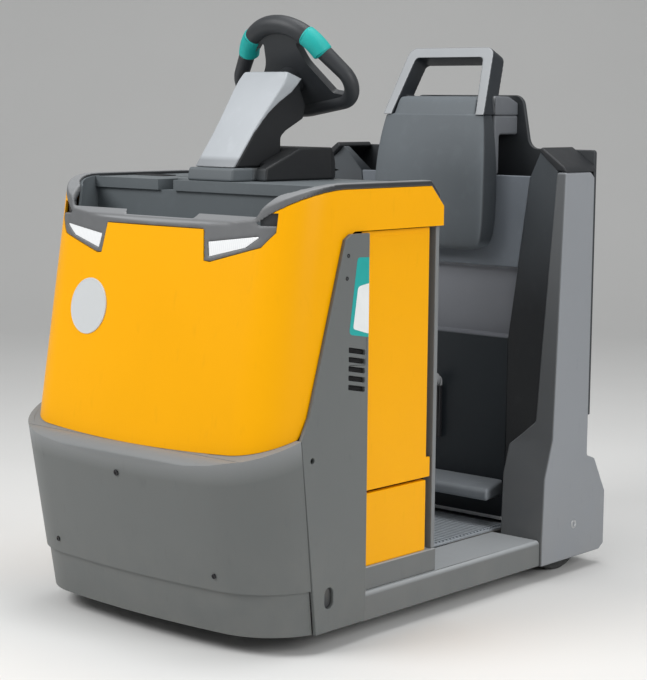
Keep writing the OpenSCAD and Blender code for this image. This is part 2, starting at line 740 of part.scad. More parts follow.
// Rear wall: one folded sheet with a recess across it, wider towards the top
wall_t = 12;
recess_low_z = 581;
recess_top_z = 761;
wall_top_half_w = rear_wall_half_w + 58;
module rear_wall() color([0.22, 0.23, 0.24]) {
    deep = bay_rear_x - recess_depth;
    intersection() {
        across(-far, far) polygon([[bay_rear_x, step_z - platform_t], [bay_rear_x, recess_low_z], [deep, recess_low_z + 4],
            [deep, recess_top_z - 6], [bay_rear_x, recess_top_z], [bay_rear_x, rear_wall_top_z],
            [bay_rear_x - wall_t, rear_wall_top_z], [bay_rear_x - wall_t, recess_top_z + wall_t],
            [deep - wall_t, recess_top_z + 6], [deep - wall_t, recess_low_z - 6], [bay_rear_x - wall_t, recess_low_z - wall_t],
            [bay_rear_x - wall_t, step_z - platform_t]]);
        along(-far, 0) polygon([[-rear_wall_half_w, 0], [rear_wall_half_w, 0], [rear_wall_half_w, recess_low_z],
            [wall_top_half_w, rear_wall_top_z], [-wall_top_half_w, rear_wall_top_z], [-rear_wall_half_w, recess_low_z]]);
    }
}

// Front edge of the cheeks as seen from the side
lid_z = 327;
lid_top_z = 390;
cheek_low_z = 38;
cheek_front = [[cheek_foot_x, cheek_low_z], [cheek_foot_x, step_z], [cheek_foot_x - 6, 256], [cheek_foot_x - 37, 351],
    [cheek_foot_x - 64, cheek_top_z]];
cheek_low_y = side_y - wheel_box_w;
return_y = side_y - return_w;
return_top_y = side_y - return_w / 2;

// Wings: one row to a level, as height, inner x and y, outer x and y, depth of the inner edge
wing_rim = 14;
wing_back = recess_depth + wing_rim;
wing_out_x = cheek_foot_x - 45;
wing_top_x = cheek_foot_x - 70;
wing_rows = [[step_z, bay_rear_x, rear_wall_half_w, wing_out_x, return_y, wing_rim - 4],
    [lid_top_z, bay_rear_x, rear_wall_half_w, wing_out_x, return_y, wing_rim + 8],
    [recess_low_z, bay_rear_x, rear_wall_half_w, wing_out_x - 8, return_y + 8, wing_back],
    [rear_wall_top_z, bay_rear_x, wall_top_half_w, wing_top_x, return_top_y, wing_back],
    [cowl_top_z + 10, bay_rear_x + 24, wall_top_half_w + 52, wing_top_x, return_top_y, wing_rim]];
wing_points = [for (r = wing_rows) each [[r[1], r[2] + seam, r[0]], [r[3], r[4] - seam, r[0]],
    [r[3] - wing_rim, r[4] - seam, r[0]], [r[1] - r[5], r[2] + seam, r[0]]]];
wing_last = 4 * (len(wing_rows) - 1);
wing_faces = concat([[0, 1, 2, 3], [wing_last + 3, wing_last + 2, wing_last + 1, wing_last]],
    [for (i = [0:4:wing_last - 4]) for (k = [0:3]) each [[i + k, i + 4 + k, i + 4 + (k + 1) % 4],
    [i + k, i + 4 + (k + 1) % 4, i + (k + 1) % 4]]]);

cap_line = [[wall_top_half_w + 48, cowl_top_z - 4], [return_top_y - 2, cheek_top_z + 3]];
module wing(side) on_side(side) color([0.18, 0.19, 0.2]) {
    difference() {
        polyhedron(wing_points, wing_faces);
        along(-far, 0) polygon([[far, 0], [cheek_low_y - seam, 0], [cheek_low_y - seam, lid_z + seam],
            [return_y - seam, lid_top_z + seam], [far, lid_top_z + seam]]);
        along(-far, 0) polygon([[0, far + 200], [0, cap_line[0][1]], cap_line[0], cap_line[1], [far, cap_line[1][1]],
            [far, far + 200]]);
    }
}

cap_t = 12;
module wing_caps() color([0.14, 0.15, 0.16]) {
    both_sides() along(cheek_rear_x - 10, wing_top_x + 2) polygon([cap_line[0] + [0, seam], cap_line[1] + [0, seam],
        [side_y, cheek_top_z + seam], [side_y - 9, cheek_top_z + 15], cap_line[0] + [8, cap_t]]);
}

cheek_t = 10;
heel_top_z = 292;
bumper_top_z = 189;
module cheek_outline() {
    polygon(concat(cheek_front, [[cheek_rear_x + 16, cheek_top_z], [cheek_rear_x, cheek_top_z - 13],
        [cheek_rear_x, heel_top_z], [cheek_rear_x - 35, heel_top_z - 12], [bumper_x, bumper_top_z],
        [bumper_x, cheek_low_z + 13], [bumper_x + 20, cheek_low_z]]));
}

// Front view of the cheek: narrow above, widening below the lid to house the wheel
module cheek_section() {
    polygon([[side_y, 0], [cheek_low_y, 0], [cheek_low_y, lid_z], [return_y, lid_top_z], [return_y + 8, recess_low_z],
        [return_top_y, cheek_top_z - 13], [return_top_y, far + 200], [side_y, far + 200]]);
}

// Space inside the cheek: a wheel box open below, and above its lid a return open to the rear
module cheek_hollow() {
    inner_y = side_y - cheek_t;
    lid_t = 8;
    intersection() {
        across(0, far) polygon(concat([[cheek_foot_x - cheek_t, -1]], [for (p = cheek_front) p - [cheek_t, 0]],
            [[cheek_foot_x - 75, far + 200], [-far, far + 200], [-far, lid_top_z], [cheek_rear_x + 4, lid_top_z],
            [cheek_rear_x + 4, heel_top_z - 6], [cheek_rear_x - 32, heel_top_z - 20], [bumper_x + cheek_t, bumper_top_z - 4],
            [bumper_x + cheek_t, -1]]));
        along(-far, 0) union() {
            polygon([[inner_y, -1], [cheek_low_y + lid_t, -1], [cheek_low_y + lid_t, lid_z - lid_t / 2],
                [return_y + 4, lid_top_z - lid_t], [inner_y, lid_top_z - lid_t]]);
            polygon([[inner_y, lid_top_z], [0, lid_top_z], [0, far + 200], [inner_y, far + 200]]);
        }
    }
}

module cheek(side) on_side(side) color("lightgray") {
    difference() {
        intersection() {
            across(cheek_low_y, side_y) cheek_outline();
            along(-far, 0) cheek_section();
        }
        cheek_hollow();
        translate([rear_x, 0, rear_r]) rotate([-90, 0, 0]) cylinder(r = 40, h = side_y - 20);
    }
}

hump_half_w = 174;
hump_foot_w = hump_half_w + 26;
hump_r = 30;
cowl_back_x = cheek_rear_x - 10;
cowl_foot_z = lid_top_z + 2;
pad_low_z = rear_wall_top_z - pad_drop;
pad_top_z = pad_low_z + pad_h;
hump_z = pad_top_z + 4;
module cowl() color([0.2, 0.21, 0.22]) {
    half = [[side_y - cheek_t, cowl_foot_z, 2], [side_y - cheek_t, cowl_top_z, 8], [hump_foot_w, cowl_top_z, hump_r],
        [hump_half_w, hump_z, hump_r]];
    along(cowl_back_x - wall_t, cowl_back_x)
        polygon(rounded(concat(half, [for (i = [len(half) - 1:-1:0]) [-half[i][0], half[i][1], half[i][2]]]), 8));
}

// Backrest: one row to a level of the pad, as share of its height, depth and half width. Over the step stand the handle's legs.
pad_rows = [[0, 46, 140], [0.03, 58, 158], [0.09, 69, 170], [0.26, 76, 175], [0.52, 75, 177], [0.76, 60, 167],
    [0.878, 49, 159], [0.879, 49, 131], [1, 24, 124]];
function pad_level(row) = pad_low_z + row[0] * pad_h;
step_row = [0.88, 49, 159];
arm_z = pad_level(step_row);
module pad_outline(room) {
    polygon(concat([for (r = pad_rows) [r[2] + room, pad_level(r)]],
        [for (i = [len(pad_rows) - 1:-1:0]) [-pad_rows[i][2] - room, pad_level(pad_rows[i])]]));
}

module backrest_pad() color([0.2, 0.21, 0.23]) {
    intersection() {
        across(-far, far) polygon(concat([[bay_rear_x, pad_low_z]], [for (r = pad_rows) [bay_rear_x + r[1], pad_level(r)]],
            [[bay_rear_x, pad_top_z]]));
        along(-far, 0) pad_outline(0);
    }
}

arm_half_w = step_row[2] + 3;
arm_t = 30;
arm_h = 48;
hoop_r = 26;
module backrest_shell() color([0.28, 0.29, 0.3]) {
    translate([bay_rear_x - wall_t, -arm_half_w, rear_wall_top_z]) cube([wall_t, 2 * arm_half_w, arm_z - seam - rear_wall_top_z]);
    both_sides() across(arm_half_w - arm_t, arm_half_w) difference() {
        polygon([[bay_rear_x - eps, rear_wall_top_z], [bay_rear_x - eps, arm_z - seam], [cowl_back_x, arm_z - seam],
            [cowl_back_x, rear_wall_top_z]]);
        translate([cowl_back_x - 1, rear_wall_top_z - 1]) square([bay_rear_x - cowl_back_x - 20, arm_z - arm_h - rear_wall_top_z]);
    }
}

// Outline of the handle's hoop, drawn in by inset, as rows of side, height and corner radius
function hoop_half(inset, reach, head) = [[arm_half_w - inset, -50, 1], [arm_half_w - inset, 4, 30],
    [head - inset, reach - inset, hoop_r - inset / 2]];
function hoop_line(inset, reach, head) = let (half = hoop_half(inset, reach, head))
    concat(half, [for (i = [2:-1:0]) [-half[i][0], half[i][1], half[i][2]]]);

module backrest_handle() color([0.3, 0.31, 0.32]) {
    reach = (pad_top_z + handle_h - arm_z) / cos(handle_lean);
    head = arm_half_w - 27;
    difference() {
        union() {
            translate([bay_rear_x + step_row[1], 0, arm_z]) rotate([0, -handle_lean, 0]) along(-handle_t, 0) difference() {
                polygon(rounded(hoop_line(0, reach, head), 8));
                polygon(rounded(hoop_line(handle_bar, reach, head), 8));
            }
            across(-arm_half_w, arm_half_w) polygon([[bay_rear_x - seam, arm_z], [bay_rear_x - seam, pad_top_z],
                [cowl_back_x + 40, pad_top_z], [cowl_back_x + seam, pad_top_z - 16], [cowl_back_x + seam, arm_z]]);
        }
        along(bay_rear_x - seam / 2, 0) pad_outline(seam);
        translate([-far, -far, arm_z - far]) cube([2 * far, 2 * far, far]);
    }
}

// Running gear

stub_r = 18;
beam_w = 50;
beam_h = 66;
module rear_axle() color("silver") {
    beam_half = rear_y - rear_w / 2 - 22;
    translate([rear_x - beam_w / 2, -beam_half, rail_z1]) cube([beam_w, 2 * beam_half, beam_h]);
    translate([rear_x, 0, rear_r]) rotate([90, 0, 0])
        cylinder(r = stub_r, h = 2 * (rear_y + rear_w / 2 - 8), center = true);
}

// Section of a solid tyre standing on a hub of radius hub_r
tyre_edge_r = 8;
module tyre_section(hub_r, tyre_r, w) {
    translate([hub_r, -w / 2]) square([tyre_r - hub_r - tyre_edge_r, w]);
    translate([hub_r, -w / 2 + tyre_edge_r]) square([tyre_r - hub_r, w - 2 * tyre_edge_r]);
    for (s = [1, -1]) translate([tyre_r - tyre_edge_r, s * (w / 2 - tyre_edge_r)]) circle(tyre_edge_r);
}

rear_hub_r = rear_r - 36;
module rear_tyre(side) on_side(side) color([0.08, 0.08, 0.08]) {
    translate([rear_x, rear_y, rear_r]) rotate([90, 0, 0]) rotate_extrude() tyre_section(rear_hub_r, rear_r, rear_w);
}

module rear_hub(side) on_side(side) color("silver") {
    translate([rear_x, rear_y, rear_r]) rotate([90, 0, 0]) difference() {
        union() {
            cylinder(r = rear_hub_r, h = rear_w - 24, center = true);
            cylinder(r = 2 * stub_r + 2, h = rear_w, center = true);
        }
        cylinder(r = stub_r + bore_clearance, h = rear_w + 2, center = true);
    }
}

fork_z = 2 * drive_r + 10;
fork_y = drive_w / 2 + travel_gap;
collar_t = 14;
drive_shaft_r = 24;
module drive_frame() color([0.3, 0.3, 0.3]) {
    translate([steer_x, 0, 0]) {
        translate([0, 0, fork_z]) cylinder(r = neck_r + 30, h = bridge_z - travel_gap - fork_z);
        translate([0, 0, bridge_z - travel_gap - 1]) cylinder(r = neck_r, h = bridge_t + travel_gap + 2);
        translate([0, 0, bridge_z + bridge_t + 0.3]) cylinder(r = neck_r + 36, h = collar_t);
        translate([-62, fork_y, 62]) cube([124, 40, fork_z - 61]);
        translate([0, fork_y + 1, drive_r]) rotate([90, 0, 0]) cylinder(r = drive_shaft_r, h = drive_w + travel_gap - 8);
    }
}

motor_r = 92;
motor_h = 240;
module drive_motor() color([0.15, 0.15, 0.16]) {
    translate([steer_x, 0, bridge_z + bridge_t + collar_t + 0.3]) cylinder(r = motor_r, h = motor_h);
}

drive_hub_r = drive_r - 35;
module drive_tyre() color([0.08, 0.08, 0.08]) {
    translate([steer_x, 0, drive_r]) rotate([90, 0, 0]) rotate_extrude() tyre_section(drive_hub_r, drive_r, drive_w);
}

module drive_hub() color("silver") {
    translate([steer_x, 0, drive_r]) rotate([90, 0, 0]) difference() {
        cylinder(r = drive_hub_r, h = drive_w - 16, center = true);
        cylinder(r = drive_shaft_r + bore_clearance, h = drive_w, center = true);
    }
}

// Rear fittings

coupling_x = rear_plate_x - 52;
coupling_r = 13;
coupling_back_t = 14;
coupling_plate_w = 140;
jaw_half_w = 45;
jaw_t = 18;
jaw_z = [255, 335];
module tow_coupling() color([0.12, 0.12, 0.13]) {
    difference() {
        union() {
            translate([rear_plate_x - coupling_back_t, -coupling_plate_w / 2, jaw_z[0] - 15])
                cube([coupling_back_t, coupling_plate_w, jaw_z[1] - jaw_z[0] + 50]);
            for (z = jaw_z) translate([0, 0, z]) linear_extrude(jaw_t) union() {
                translate([coupling_x, -jaw_half_w]) square([rear_plate_x - 13 - coupling_x, 2 * jaw_half_w]);
                translate([coupling_x, 0]) square([60, 60], center = true);
                intersection() {
                    translate([coupling_x + 15, 0]) circle(jaw_half_w);
                    translate([coupling_x - 60, -jaw_half_w]) square([80, 2 * jaw_half_w]);
                }
            }
        }
        translate([coupling_x, 0, 0]) cylinder(r = coupling_r, h = far);
    }
}

lever_z = 300;
lever_h = 150;
knob_r = 16;
module release_lever() color([0.1, 0.1, 0.1]) {
    translate([bay_rear_x, -knob_r + 4, lever_z]) cube([14, 2 * knob_r - 8, lever_h]);
    translate([bay_rear_x + 14 - eps, 0, lever_z + lever_h + 6]) rotate([0, 90, 0]) cylinder(r = knob_r, h = 18);
    translate([bay_rear_x, 0, lever_z + lever_h]) rotate([0, 90, 0]) cylinder(r = knob_r - 4, h = 14);
}

chassis();
front_apron();
side_panel(1);  // side_panel_left
side_panel(-1);  // side_panel_right
hood();
hood_rim();
lamps();
dash_deck();
console();
column_body();
column_cover();
steering_wheel();
steering_grips();
battery();
battery_door(1);  // battery_door_left
battery_door(-1);  // battery_door_right
door_hinge_pins();
lower_panels();
posts();
bulkhead();
sill(1);  // sill_left
sill(-1);  // sill_right
platform();
floor_mat();
foot_ledge();
rear_wall();
wing(1);  // wing_left
wing(-1);  // wing_right
wing_caps();
cheek(1);  // cheek_left
cheek(-1);  // cheek_right
cowl();
backrest_pad();
backrest_shell();
backrest_handle();
rear_axle();
rear_tyre(1);  // rear_tyre_left
rear_tyre(-1);  // rear_tyre_right
rear_hub(1);  // rear_hub_left
rear_hub(-1);  // rear_hub_right
drive_frame();
drive_motor();
drive_tyre();
drive_hub();
tow_coupling();
release_lever();
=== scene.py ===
import math

import bmesh
import bpy
from mathutils import Matrix, Vector


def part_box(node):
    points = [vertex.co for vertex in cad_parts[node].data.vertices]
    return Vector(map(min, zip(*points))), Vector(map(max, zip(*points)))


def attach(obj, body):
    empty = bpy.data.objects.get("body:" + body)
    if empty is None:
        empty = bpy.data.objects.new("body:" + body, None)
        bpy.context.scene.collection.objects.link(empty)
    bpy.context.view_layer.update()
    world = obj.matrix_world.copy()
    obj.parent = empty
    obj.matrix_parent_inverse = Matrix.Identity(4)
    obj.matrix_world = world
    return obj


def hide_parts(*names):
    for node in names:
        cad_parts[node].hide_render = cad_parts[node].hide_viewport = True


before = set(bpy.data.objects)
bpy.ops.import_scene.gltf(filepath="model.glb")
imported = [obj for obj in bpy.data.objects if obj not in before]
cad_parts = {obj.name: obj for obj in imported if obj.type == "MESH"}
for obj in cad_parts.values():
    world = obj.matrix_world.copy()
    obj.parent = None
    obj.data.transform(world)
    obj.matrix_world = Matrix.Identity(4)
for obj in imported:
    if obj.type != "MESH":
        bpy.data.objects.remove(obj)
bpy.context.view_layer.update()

# The studio: a roll of pale matt paper that runs back under the tractor and up behind it, soft lamps
# and a camera at the height of a standing person's chest, in front of the left corner.


class Signal:
    """A value that changes over a surface, for use in plain arithmetic."""

    def __init__(self, finish, socket):
        self.finish = finish
        self.socket = socket

    def maths(self, operation, first, second):
        return self.finish.node("ShaderNodeMath", {"operation": operation}, {0: first, 1: second})

    def __add__(self, other):
        return self.maths("ADD", self, other)

    __radd__ = __add__

    def __mul__(self, other):
        return self.maths("MULTIPLY", self, other)

    __rmul__ = __mul__

    def __sub__(self, other):
        return self.maths("SUBTRACT", self, other)

    def __rsub__(self, other):
        return self.maths("SUBTRACT", other, self)

    def __gt__(self, other):
        return self.maths("GREATER_THAN", self, other)

    def __lt__(self, other):
        return self.maths("LESS_THAN", self, other)


class Finish:
    """One material: its nodes, and the shader that they feed."""

    def __init__(self, name):
        self.material = bpy.data.materials.new(name)
        self.material.use_nodes = True
        self.tree = self.material.node_tree
        self.shader = self.tree.nodes["Principled BSDF"]
        self.spot = self.node("ShaderNodeTexCoord", out="Object")

    def feed(self, node, sockets):
        for key, value in sockets.items():
            socket = node.inputs[key]
            if isinstance(value, Signal):
                self.tree.links.new(value.socket, socket)
            else:
                socket.default_value = value

    def node(self, kind, settings=None, sockets=None, out=0):
        made = self.tree.nodes.new(kind)
        for key, value in (settings or {}).items():
            setattr(made, key, value)
        self.feed(made, sockets or {})
        return Signal(self, made.outputs[out])

    def noise(self, scale, detail=2.0, stretch=None):
        spot = self.spot
        if stretch:
            spot = self.node("ShaderNodeMapping", None, {"Vector": spot, "Scale": stretch})
        return self.node("ShaderNodeTexNoise", None, {"Vector": spot, "Scale": scale, "Detail": detail})

    def along(self, axis):
        return self.node("ShaderNodeSeparateXYZ", None, {"Vector": self.spot}, out=axis)

    def facing(self, direction):
        normal = self.node("ShaderNodeTexCoord", out="Normal")
        return self.node(
            "ShaderNodeVectorMath", {"operation": "DOT_PRODUCT"}, {0: normal, 1: direction}, out="Value")

    def sideways(self):
        return self.node("ShaderNodeMath", {"operation": "ABSOLUTE"}, {0: self.facing((0.0, 1.0, 0.0))})

    def ramp(self, value, low, high):
        return self.node(
            "ShaderNodeMapRange", {"clamp": True}, {"Value": value, "From Min": low, "From Max": high})

    def mix(self, share, first, second):
        return self.node("ShaderNodeMix", {"data_type": "RGBA"}, {0: share, 6: first, 7: second}, out=2)

    def bump(self, height, strength, distance):
        return self.node(
            "ShaderNodeBump", None, {"Height": height, "Strength": strength, "Distance": distance})

    def wear(self, sockets):
        self.feed(self.shader, sockets)


def shade(colour, share):
    return tuple(min(1.0, part * share) for part in colour[:3]) + (1.0,)


def mesh_piece(name, vertices, faces, finish):
    mesh = bpy.data.meshes.new(name)
    mesh.from_pydata([tuple(v) for v in vertices], [], faces)
    mesh.validate()
    mesh.shade_smooth()
    mesh.materials.append(finish.material)
    piece = bpy.data.objects.new(name, mesh)
    bpy.context.scene.collection.objects.link(piece)
    return piece


backdrop_finish = Finish("backdrop_paper")
paper_tone = backdrop_finish.mix(backdrop_finish.noise(1.2), (0.74, 0.74, 0.73, 1.0), (0.78, 0.78, 0.77, 1.0))
backdrop_finish.wear({"Base Color": paper_tone, "Roughness": 0.9, "Specular IOR Level": 0.1})
heading, dip, roll = math.radians(41.206), math.radians(7.296), math.radians(0.526)
away = Vector((math.cos(heading), math.sin(heading), 0.0))
aside = Vector((-math.sin(heading), math.cos(heading), 0.0))
paper_near, paper_far, paper_bend, paper_top, paper_half, paper_steps = 9.0, -5.0, 3.0, 9.0, 14.0, 12
paper_line = [(paper_near, 0.0)]
for step in range(paper_steps + 1):
    turn = math.pi / 2 * step / paper_steps
    paper_line.append((paper_far - paper_bend * math.sin(turn), paper_bend * (1.0 - math.cos(turn))))
paper_line.append((paper_far - paper_bend, paper_top))
paper_points = [away * reach + aside * side + Vector((0.0, 0.0, height))
                for reach, height in paper_line for side in (-paper_half, paper_half)]
paper_faces = [(2 * row, 2 * row + 1, 2 * row + 3, 2 * row + 2) for row in range(len(paper_line) - 1)]
backdrop = mesh_piece("backdrop", paper_points, paper_faces, backdrop_finish)

world = bpy.data.worlds.new("studio")
world.use_nodes = True
world.node_tree.nodes["Background"].inputs["Color"].default_value = (0.86, 0.87, 0.88, 1.0)
world.node_tree.nodes["Background"].inputs["Strength"].default_value = 0.42
bpy.context.scene.world = world
bpy.context.scene.view_settings.view_transform = "Standard"

# Each lamp as name, place, point it shines at, width and power
lamps = [
    ("key", (3.4, -1.4, 3.4), (0.3, 0.0, 0.7), 2.4, 118.0),
    ("side", (0.4, 4.6, 2.6), (-0.1, 0.0, 0.6), 2.6, 95.0),
    ("top", (-0.3, 0.3, 4.2), (0.0, 0.0, 0.8), 2.8, 75.0),
]
for name, place, target, width, power in lamps:
    light = bpy.data.lights.new(name, "AREA")
    light.shape = "DISK"
    light.size = width
    light.energy = power
    lamp = bpy.data.objects.new(name, light)
    lamp.location = place
    lamp.rotation_euler = (Vector(place) - Vector(target)).to_track_quat("Z", "Y").to_euler()
    bpy.context.scene.collection.objects.link(lamp)

eye = Vector((3.3292, 2.914, 1.1633))
back = away * math.cos(dip) + Vector((0.0, 0.0, math.sin(dip)))
level = back.cross(aside)
right = aside * math.cos(roll) + level * math.sin(roll)
up = level * math.cos(roll) - aside * math.sin(roll)
# The lens was solved on the photograph's taller side, as a focal length in its pixels
photo_height, photo_focus, sensor = 680, 1843.7, 36.0
camera_data = bpy.data.cameras.new("camera")
camera_data.sensor_width = sensor
camera_data.lens = sensor * photo_focus / photo_height
camera = bpy.data.objects.new("camera", camera_data)
camera.matrix_world = Matrix.Translation(eye) @ Matrix((right, up, back)).transposed().to_4x4()
bpy.context.scene.collection.objects.link(camera)
bpy.context.scene.camera = camera

# Frame: welded steel rails, bridge, bay floor and rear plate under black paint, with road dust on
# the lowest parts. The platform plate is bolted between the sills, and the jaw to the rear plate.


def soften(node, edge, steps=2):
    """Rounds a solid's sharp edges by a bevel; a width of 0 only parts its flat faces from round ones."""
    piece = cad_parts[node]
    weld = piece.modifiers.new("weld", "WELD")
    weld.merge_threshold = 0.00002
    if edge:
        flats = piece.modifiers.new("flats", "DECIMATE")
        flats.decimate_type = "DISSOLVE"
        flats.angle_limit = math.radians(0.1)
        rounding = piece.modifiers.new("edges", "BEVEL")
        rounding.width = edge
        rounding.segments = steps
        rounding.limit_method = "ANGLE"
        rounding.angle_limit = math.radians(28)
        rounding.use_clamp_overlap = False
        rounding.miter_outer = "MITER_ARC"
    else:
        parting = piece.modifiers.new("parting", "EDGE_SPLIT")
        parting.split_angle = math.radians(34)
    normals = piece.modifiers.new("normals", "WEIGHTED_NORMAL")
    normals.weight = 80


def dress(nodes, finish, edge=None, steps=2):
    """Gives solids a finish and, where an edge is named, softens them."""
    for node in nodes:
        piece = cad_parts[node]
        piece.data.materials.clear()
        piece.data.materials.append(finish.material)
        if edge is not None:
            soften(node, edge, steps)


def painted(name, colour, gloss, dust=0.0, coat=0.0, shine=0.35, layers=()):
    """Sprayed paint: faint clouds, orange peel, fine scuffs and low dust; layers are as for plastic."""
    finish = Finish(name)
    cloud = finish.noise(3.0, 3.0)
    scuff = finish.ramp(finish.noise(60.0, 6.0, (1.0, 1.0, 0.25)), 0.62, 0.75)
    tone = finish.mix(cloud, shade(colour, 0.95), shade(colour, 1.05))
    tone = finish.mix(scuff * 0.25, tone, shade(colour, 0.86))
    for other, share in layers:
        tone = finish.mix(share(finish), tone, finish.mix(cloud, shade(other, 0.95), shade(other, 1.05)))
    low = finish.ramp(finish.along("Z"), 0.30, 0.02) * finish.ramp(finish.noise(14.0, 6.0), 0.30, 0.75)
    tone = finish.mix(low * dust, tone, (0.33, 0.31, 0.28, 1.0))
    finish.wear({
        "Base Color": tone, "Roughness": gloss + cloud * 0.06 + scuff * 0.12 + low * (0.4 * dust),
        "Coat Weight": coat, "Coat Roughness": 0.08, "Specular IOR Level": shine,
        "Normal": finish.bump(finish.noise(420.0, 1.0), 0.06, 0.0006)})
    return finish


frame_paint = painted("frame_paint", (0.055, 0.058, 0.062), 0.45, dust=0.5)
dress(["chassis", "platform"], frame_paint, 0.0015)
dress(["tow_coupling"], frame_paint, 0.003)

# Drive unit and wheels: a cast leg and slewing collar with the motor standing on it. The cast skin
# is rough under its paint. The solid tyres are pressed on steel hubs; the drive tyre is black rubber.


def cast(name, colour):
    """Sand-cast iron under one coat of paint."""
    finish = Finish(name)
    grit = finish.noise(260.0, 5.0)
    rust = finish.ramp(finish.noise(22.0, 7.0), 0.60, 0.72)
    tone = finish.mix(grit, shade(colour, 0.75), shade(colour, 1.3))
    finish.wear({
        "Base Color": finish.mix(rust * 0.35, tone, (0.17, 0.085, 0.04, 1.0)),
        "Roughness": 0.55 + grit * 0.2, "Normal": finish.bump(grit, 0.35, 0.001)})
    return finish


def rubber(name, colour, scuffed):
    """Solid tyre compound: matt, faintly mottled, with dust rubbed into it."""
    finish = Finish(name)
    mottle = finish.noise(45.0, 6.0)
    tone = finish.mix(mottle, shade(colour, 0.8), shade(colour, 1.2))
    dusty = finish.ramp(finish.noise(120.0, 5.0), 0.45, 0.8)
    finish.wear({
        "Base Color": finish.mix(dusty * scuffed, tone, (0.36, 0.34, 0.31, 1.0)),
        "Roughness": 0.72 + mottle * 0.2,
        "Normal": finish.bump(mottle + finish.noise(700.0, 2.0) * 0.4, 0.25, 0.0008)})
    return finish


def machined(name, colour):
    """Turned steel: fine rings of tool marks, and a little tarnish."""
    finish = Finish(name)
    marks = finish.noise(900.0, 2.0, (1.0, 0.04, 1.0))
    tarnish = finish.ramp(finish.noise(18.0, 5.0), 0.45, 0.8)
    finish.wear({
        "Base Color": finish.mix(tarnish * 0.4, colour, shade(colour, 0.55)), "Metallic": 1.0,
        "Roughness": 0.28 + marks * 0.18 + tarnish * 0.15, "Normal": finish.bump(marks, 0.12, 0.0004)})
    return finish


cast_iron = cast("cast_iron", (0.075, 0.076, 0.08))
steel = machined("machined_steel", (0.56, 0.57, 0.58, 1.0))
dress(["drive_frame", "drive_motor"], cast_iron, 0.003)
dress(["drive_tyre"], rubber("drive_rubber", (0.03, 0.03, 0.031), 0.3))
dress(["rear_tyre_left", "rear_tyre_right"], rubber("non_marking_rubber", (0.050, 0.052, 0.052), 0.1))
dress(["drive_hub", "rear_hub_left", "rear_hub_right", "rear_axle", "door_hinge_pins"], steel, 0.0012)

# Battery: a welded steel trough under black acid-proof paint, which stands loose on the bay floor
# and is hidden by the doors until one is opened.
battery_paint = painted("battery_paint", (0.035, 0.036, 0.04), 0.55)
dress(["battery"], battery_paint, 0.004)

# Bay liner: a black foam board glued to the bulkhead, which closes the slit behind the doors. Its
# face is cut with upright grooves, so that the board takes up the bulkhead's bow.


def lofted(name, loops, finish, ring=False, flat=False):
    """Joins loops of points by one skin, with a face at both ends, or round into a ring."""
    rows, sides = len(loops), len(loops[0])
    faces = []
    for row in range(rows if ring else rows - 1):
        low, high = row * sides, (row + 1) % rows * sides
        for side in range(sides):
            following = (side + 1) % sides
            faces.append((low + side, low + following, high + following, high + side))
    if not ring:
        faces += [tuple(reversed(range(sides))), tuple(range((rows - 1) * sides, rows * sides))]
    piece = mesh_piece(name, [point for loop in loops for point in loop], faces, finish)
    skin = bmesh.new()
    skin.from_mesh(piece.data)
    bmesh.ops.recalc_face_normals(skin, faces=skin.faces)
    skin.to_mesh(piece.data)
    skin.free()
    if flat:
        piece.data.shade_flat()
    return piece


liner_back_x, liner_face_x, liner_half, liner_low_z, liner_high_z = 0.0600, 0.0790, 0.350, 0.165, 0.860
groove_count, groove_half, groove_depth = 13, 0.004, 0.003
# One groove as place across and depth, from the face down its slopes and up again
groove = [(-groove_half, 0.0), (-groove_half / 2, groove_depth), (groove_half / 2, groove_depth),
          (groove_half, 0.0)]
liner_section = [(liner_back_x, liner_half), (liner_back_x, -liner_half), (liner_face_x, -liner_half)]
for index in range(groove_count):
    middle = liner_half * (2 * (index + 1) / (groove_count + 1) - 1)
    liner_section += [(liner_face_x - depth, middle + across) for across, depth in groove]
liner_section.append((liner_face_x, liner_half))
liner_loops = [[(x, y, z) for x, y in liner_section] for z in (liner_low_z, liner_high_z)]
liner = lofted("bay_liner", liner_loops, rubber("liner_foam", (0.022, 0.022, 0.024), 0.1), flat=True)
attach(liner, "body")

# Apron and side panels: pressed steel in satin grey paint, screwed to the frame. The apron wraps
# the nose, with a painted highlight along its top roll; each side panel has slots and a lashing eye.
grey_paint = painted("grey_paint", (0.136, 0.145, 0.144), 0.42, dust=0.15)
# The roll's painted highlight rises to the rear with the hood's edge, so its height is taken along that slope
highlight_rise, highlight_low, highlight_high = 0.296, 0.570, 0.630
apron_paint = painted("apron_paint", (0.132, 0.140, 0.138), 0.42, dust=0.15, layers=[
    ((0.25, 0.26, 0.265), lambda finish: finish.ramp(
        finish.along("Z") + finish.along("X") * highlight_rise, highlight_low, highlight_high))])
post_paint = painted("post_paint", (0.20, 0.21, 0.215), 0.42)
dress(["front_apron"], apron_paint, 0.0)
dress(["side_panel_left", "side_panel_right"], grey_paint, 0.0022)
dress(["posts"], post_paint, 0.0022)

# Screws and bolts: blackened socket screws sunk in the apron and the side panels, with their rims
# just proud, and one bright axle bolt on each cheek.


def turned(name, profile, sides, finish, place, axis):
    """A lathe-turned piece: profile rows are radius and height, set on place with its axis outward."""
    stand = Vector(axis).to_track_quat("Z", "Y").to_matrix()
    turns = [2 * math.pi * step / sides for step in range(sides)]
    loops = [[Vector(place) + stand @ Vector((radius * math.cos(turn), radius * math.sin(turn), height))
              for turn in turns] for radius, height in profile]
    return lofted(name, loops, finish)


def surface(node, start, direction):
    """Where a straight line from start first meets a solid, and the way that the surface faces there."""
    found, place, normal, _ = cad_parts[node].ray_cast(Vector(start), Vector(direction).normalized())
    assert found, node
    return place, normal


